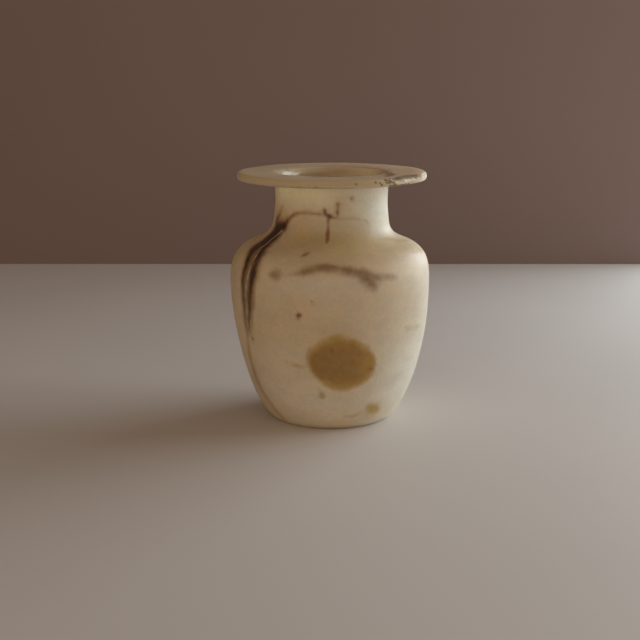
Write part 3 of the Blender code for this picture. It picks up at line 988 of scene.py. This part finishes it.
def cloud_group():
    """Cloudy stone: milky and clear parts that drift into each other, with fine grains."""
    tree, given, put_out = new_group(
        "cloudy_stone",
        {"Milk": (1.0, 1.0, 1.0, 1.0), "Honey": (1.0, 1.0, 1.0, 1.0), "Chalk": (1.0, 1.0, 1.0, 1.0),
         "Warmth": 0.0},
        {"Color": "NodeSocketColor"})
    place = tree.object_place((1.0, 1.0, 1.5))
    wide = tree.noise(place, 16.0, detail=3.0, roughness=0.55, distortion=0.6)
    close = tree.noise(place, 62.0, detail=4.0, roughness=0.6, distortion=0.3)
    grain = tree.noise(tree.object_place(), 520.0, detail=2.0, roughness=0.6)
    # The close clouds sway the warmth. Warm stone with much of the wide cloud in it is clear, and cold stone
    # with little of it is chalky.
    drift = tree.maths("MULTIPLY_ADD", tree.maths("SUBTRACT", close, 0.5), 0.55, given["Warmth"])
    clear = tree.maths("MULTIPLY_ADD", tree.maths("SUBTRACT", wide, 0.42), 1.1, drift, clamp=True)
    pale = tree.maths("MULTIPLY_ADD", tree.maths("SUBTRACT", wide, 0.5), -0.7,
                      tree.maths("MULTIPLY", drift, -1.0), clamp=True)
    colour = tree.blend(pale, tree.blend(clear, given["Milk"], given["Honey"]), given["Chalk"])
    tone = tree.fade(close, 0.30, 0.72, 0.93, 1.06)
    speck = tree.fade(grain, 0.30, 0.70, 0.965, 1.03)
    shade = tree.maths("MULTIPLY", tone, speck)
    shades = tree.add("ShaderNodeCombineColor", {"Red": shade, "Green": shade, "Blue": shade})
    tree.feed(put_out["Color"], tree.blend(1.0, colour, shades.outputs["Color"], kind="MULTIPLY"))
    return tree.tree


def worn_polish_group():
    """The worn surface: faint turning marks, soft waves, dull patches and tiny pits."""
    tree, given, put_out = new_group(
        "worn_polish", {"Roughness": 0.4}, {"Roughness": "NodeSocketFloat", "Height": "NodeSocketFloat"})
    turning = tree.noise(tree.object_place((2.0, 2.0, 60.0)), 12.0, detail=3.0, roughness=0.6)
    waves = tree.noise(tree.object_place(), 60.0, detail=3.0, roughness=0.5)
    patches = tree.noise(tree.object_place((1.0, 1.0, 1.6)), 45.0, detail=5.0, roughness=0.65)
    place = tree.object_place()
    cells = tree.add("ShaderNodeTexVoronoi", {"Vector": place, "Scale": 260.0, "Randomness": 1.0})
    few = tree.fade(patches, 0.66, 0.74)
    pits = tree.maths("MULTIPLY", tree.fade(cells.outputs["Distance"], 0.14, 0.04), few)
    height = tree.maths("MULTIPLY_ADD", waves, 2.2, tree.maths("MULTIPLY", turning, 0.55))
    tree.feed(put_out["Height"], tree.maths("SUBTRACT", height, tree.maths("MULTIPLY", pits, 0.06)))
    dull = tree.maths("MULTIPLY_ADD", pits, 0.1, tree.fade(patches, 0.30, 0.72, -0.05, 0.12))
    tree.feed(put_out["Roughness"], tree.maths("ADD", given["Roughness"], dull))
    return tree.tree


def opaque(colour):
    """A colour with its fourth number."""
    return (*colour, 1.0)


class StoneTree(Tree):
    """The veined stone's nodes, which paint its colour one layer over the other."""

    def __init__(self, tree, finish):
        super().__init__(tree)
        self.finish = finish
        self.stain = stain_group()
        cloudy = {name: opaque(getattr(finish, name.lower())) for name in ("Milk", "Honey", "Chalk")}
        stone = self.add("ShaderNodeGroup", node_tree=cloud_group())
        for name, value in {**cloudy, "Warmth": self.layer("warmth_and_painted_light")}.items():
            self.feed(stone.inputs[name], value)
        self.colour = stone.outputs["Color"]

    def mask(self, edge, ragged, softness, fineness):
        """How far each place lies within a stain's edge."""
        node = self.add("ShaderNodeGroup", node_tree=self.stain)
        for name, value in {"Edge": edge, "Ragged": ragged, "Softness": softness, "Scale": fineness}.items():
            self.feed(node.inputs[name], value)
        return node.outputs["Mask"]

    def paint(self, share, strength, new):
        """Lays a colour, or a finish's colour by its name, over what is there."""
        if isinstance(new, str):
            new = opaque(getattr(self.finish, new))
        self.colour = self.blend(self.maths("MULTIPLY", share, strength), self.colour, new)

    def paint_rim_and_mouth_shade(self):
        """Painted shade: the rim and the inside darkened towards the olive shade colour, in faint level
        layers.
        """
        level = self.noise(self.object_place((2.0, 2.0, 60.0)), 10.0, detail=2.0)
        self.paint(self.layer("olive_shade"), self.fade(level, 0.35, 0.65, 0.62, 0.90), "olive_shade")

    def paint_stains(self):
        """Every stain and vein of the table, then the filling of the grooves."""
        uneven = self.fade(self.noise(self.object_place(), 170.0, detail=3.0), 0.38, 0.60, 0.35, 0.95)
        spots = self.noise(self.object_place(), 210.0, detail=4.0, roughness=0.65)
        patterns = {"even": 1.0, "uneven": uneven, "mottled": self.fade(spots, 0.30, 0.70, 0.74, 0.96)}
        core = self.blend(self.layer("oval_glow"), opaque(self.finish.oval), opaque(self.finish.ochre))
        for layer, past, ragged, softness, fineness, strength, pattern, new in STAINS:
            edge = self.maths("SUBTRACT", self.layer(layer), past)
            cover = self.maths("MULTIPLY", patterns[pattern], strength)
            colour = core if new == "oval_core" else new
            self.paint(self.mask(edge, ragged, softness, fineness), cover, colour)
        line = self.maths("MAXIMUM", self.fade(self.layer("fissure"), *FISSURE_FILL),
                          self.fade(self.layer("scratch"), *SCRATCH_FILL))
        self.paint(line, FILL_STRENGTH, "mineral")

    def paint_breaks(self, broken, crumbs):
        """The broken faces: pale stone, patches and dirt, and painted shade on the upper slope and the lower
        edge.
        """
        spot = self.add("ShaderNodeSeparateXYZ", {"Vector": self.object_place()}).outputs
        ragged = self.maths("MULTIPLY_ADD", crumbs, 0.003, spot["Z"])
        # Dirt and painted shade, both giving way towards the right
        worn = self.maths("MULTIPLY", broken, self.fade(spot["X"], *DIRT_AND_SHADE_ENDS, 1.0, 0.15))
        border = self.maths("MULTIPLY", broken, self.fade(self.layer("broken"), 1.7, 0.7))
        break_dark = self.maths("MULTIPLY", self.fade(crumbs, 0.36, 0.52), self.maths("MULTIPLY", border, worn))
        sharp = self.maths("MULTIPLY", broken, self.fade(spot["X"], *PALE_ENDS, 1.0, 0.35))
        self.paint(sharp, 0.90, "fracture")
        # Stone-coloured patches and dirt on the broken faces, in the olive shade's colour
        self.paint(self.mask(self.layer("rim_patch"), 1.6, 0.9, 260.0), 0.70, "olive_shade")
        self.paint(self.maths("MULTIPLY", self.fade(crumbs, 0.46, 0.62), worn), 0.25, "olive_shade")
        # Painted shade on the upper slope of the broken faces
        self.paint(self.maths("MULTIPLY", self.fade(ragged, *UPPER_SHADE_BEGINS), worn), 0.85, "break_dark")
        # Painted shade along the lower edge of the broken faces, in the rust colour
        self.paint(self.maths("MULTIPLY", self.fade(ragged, *LOWER_SHADE_BEGINS), worn), 0.80, "rust")
        # Dirt in the crumbs by the break's border, in the rust colour
        self.paint(break_dark, 0.50, "rust")
        self.paint(self.mask(self.layer("rim_crumb_and_shade"), 1.3, 0.45, 460.0), 0.85, "crumb_and_shade")


def alabaster(finish):
    """The veined stone's material."""
    material = bpy.data.materials.new("veined_alabaster")
    material.use_nodes = True
    tree = StoneTree(material.node_tree, finish)
    broken = tree.fade(tree.layer("broken"), 0.0, 0.35)
    crumbs = tree.noise(tree.object_place(), 340.0, detail=4.0, roughness=0.7)
    tree.paint_rim_and_mouth_shade()
    tree.paint_stains()
    tree.paint_breaks(broken, crumbs)

    surface = tree.add("ShaderNodeGroup", node_tree=worn_polish_group())
    surface.inputs["Roughness"].default_value = finish.polish
    smoother = tree.maths("MULTIPLY_ADD", tree.layer("lip"), LIP_ROUGHNESS, surface.outputs["Roughness"])
    roughness = tree.maths("MULTIPLY_ADD", broken, BREAK_ROUGHNESS, smoother, clamp=True)
    rough_crumbs = tree.maths("MULTIPLY", crumbs, broken)
    relief = tree.maths("MULTIPLY_ADD", rough_crumbs, CRUMB_RELIEF, surface.outputs["Height"])
    bump = tree.add("ShaderNodeBump", {"Height": relief, "Strength": RELIEF_STRENGTH,
                                       "Distance": RELIEF_HEIGHT})

    shader = material.node_tree.nodes["Principled BSDF"]
    tree.feed(shader.inputs["Base Color"], tree.colour)
    tree.feed(shader.inputs["Roughness"], roughness)
    tree.feed(shader.inputs["Normal"], bump.outputs["Normal"])
    shader.inputs["IOR"].default_value = REFRACTION
    shader.inputs["Specular IOR Level"].default_value = SPECULAR
    shader.inputs["Subsurface Weight"].default_value = SCATTER
    shader.inputs["Subsurface Radius"].default_value = SCATTER_COLOUR
    shader.inputs["Subsurface Scale"].default_value = SCATTER_DEPTH
    return material


def plain_material(name, colour):
    """A plain matt material with a faint unevenness."""
    material = bpy.data.materials.new(name)
    material.use_nodes = True
    tree = Tree(material.node_tree)
    shader = material.node_tree.nodes["Principled BSDF"]
    tone = tree.fade(tree.noise(tree.object_place(), 3.0), 0.3, 0.7)
    darker = tuple(part * 0.96 for part in colour)
    tree.feed(shader.inputs["Base Color"], tree.blend(tone, opaque(darker), opaque(colour)))
    shader.inputs["Roughness"].default_value = 0.6
    return material


class CarveVase(bpy.types.Operator):
    """Turn, wear, break and vein the hollow stone vase."""

    bl_idname = "vase.carve_stone"
    bl_label = "Carve the vase"

    def execute(self, context):
        sizes = context.scene.vase_sizes
        stone = turned_stone(sizes)
        apply_modifier(stone, "DISPLACE", texture=soft_noise("hand_grinding", WAVER_BREADTH, 1),
                       texture_coords="LOCAL", strength=sizes.waver, mid_level=1.0,
                       vertex_group=steady_foot(stone))
        for name, place in BREAKS.items():
            cut_away(stone, [break_hollow(sizes, name, **place)])
        grooves = [groove_line(stone, sizes, points) for points in (FISSURE, SCRATCH)]
        tubes = [groove_tube(line) for line in grooves]
        cut_away(stone, tubes + [pit_lump(stone, sizes, place) for place in PITS])
        choose(stone)
        bpy.ops.object.shade_smooth_by_angle(angle=SMOOTH_ANGLE)
        mark_veins(stone, sizes, *grooves)
        stone.data.materials.clear()
        stone.data.materials.append(alabaster(context.scene.vase_finish))
        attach(stone, "root")
        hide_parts("alabaster_vase")
        return {"FINISHED"}


def flat_stage(name, width, height, material):
    """A flat piece of the stage, lying at the origin."""
    clear_selection()
    bpy.ops.mesh.primitive_plane_add(size=1.0, location=(0.0, 0.0, 0.0))
    piece = bpy.context.object
    piece.name = name
    bpy.ops.object.mode_set(mode="EDIT")
    bpy.ops.transform.resize(value=(width, height, 1.0))
    bpy.ops.object.mode_set(mode="OBJECT")
    piece.data.materials.append(material)
    return piece


def soft_light(name, place, turn, size, power, colour):
    """A large rectangular light."""
    bpy.ops.object.light_add(type="AREA", location=place, rotation=turn)
    light = bpy.context.object
    light.name = name
    light.data.shape = "RECTANGLE"
    light.data.size = size[0]
    light.data.size_y = size[1]
    light.data.energy = power
    light.data.color = colour


class SetStage(bpy.types.Operator):
    """Set the pale floor, the soft light and the camera."""

    bl_idname = "vase.set_stage"
    bl_label = "Set the stage"

    def execute(self, context):
        stage = context.scene.vase_stage
        floor = flat_stage("floor", FLOOR_WIDTH, FLOOR_WIDTH,
                           plain_material("pale_floor", stage.floor_colour))
        wall = flat_stage("backdrop", BACKDROP_RIGHT - BACKDROP_LEFT, BACKDROP_HEIGHT,
                          plain_material("plain_backdrop", stage.wall_colour))
        wall.rotation_euler = (radians(90), 0.0, 0.0)
        wall.location = ((BACKDROP_RIGHT + BACKDROP_LEFT) / 2, BACKDROP_BEHIND, BACKDROP_HEIGHT / 2)
        bpy.ops.object.transform_apply(location=True, rotation=True, scale=True)

        across = cos(WINDOW_RISE)
        towards = Vector((sin(WINDOW_AZIMUTH) * across, -cos(WINDOW_AZIMUTH) * across, sin(WINDOW_RISE)))
        facing = towards.to_track_quat("Z", "Y").to_euler()
        soft_light("window", towards * WINDOW_DISTANCE + WINDOW_AIM, facing, WINDOW_SIZE,
                   stage.window_power, WINDOW_COLOUR)
        soft_light("room_light", FRONT_PLACE, FRONT_TURN, FRONT_SIZE, stage.front_power, FRONT_COLOUR)

        world = context.scene.world or bpy.data.worlds.new("room")
        context.scene.world = world
        world.use_nodes = True
        background = world.node_tree.nodes["Background"]
        background.inputs["Color"].default_value = opaque(ROOM_COLOUR)
        background.inputs["Strength"].default_value = stage.room_brightness

        bpy.ops.object.camera_add(location=CAMERA_PLACE, rotation=(radians(90 - CAMERA_TILT), 0.0, 0.0))
        camera = context.object
        camera.data.lens = CAMERA_LENS
        camera.data.sensor_width = CAMERA_SENSOR
        context.scene.camera = camera
        context.scene.view_settings.view_transform = "Standard"
        return {"FINISHED"}


class VasePanel(bpy.types.Panel):
    """The vase's sizes, finish and stage."""

    bl_idname = "VIEW3D_PT_alabaster_vase"
    bl_label = "Alabaster Vase"
    bl_space_type = "VIEW_3D"
    bl_region_type = "UI"
    bl_category = "Vase"

    def draw(self, context):
        for group, operator in ((context.scene.vase_sizes, None), (context.scene.vase_finish, CarveVase),
                                (context.scene.vase_stage, SetStage)):
            column = self.layout.column()
            for name in group.__annotations__:
                column.prop(group, name)
            if operator:
                column.operator(operator.bl_idname)


CLASSES = (VaseSizes, VaseFinish, VaseStage, CarveVase, SetStage, VasePanel)


def register():
    for one in CLASSES:
        bpy.utils.register_class(one)
    bpy.types.Scene.vase_sizes = PointerProperty(type=VaseSizes)
    bpy.types.Scene.vase_finish = PointerProperty(type=VaseFinish)
    bpy.types.Scene.vase_stage = PointerProperty(type=VaseStage)


def unregister():
    del bpy.types.Scene.vase_sizes
    del bpy.types.Scene.vase_finish
    del bpy.types.Scene.vase_stage
    for one in reversed(CLASSES):
        bpy.utils.unregister_class(one)


def main():
    register()
    bpy.ops.vase.set_stage()
    bpy.ops.vase.carve_stone()


if __name__ == "__main__":
    main()
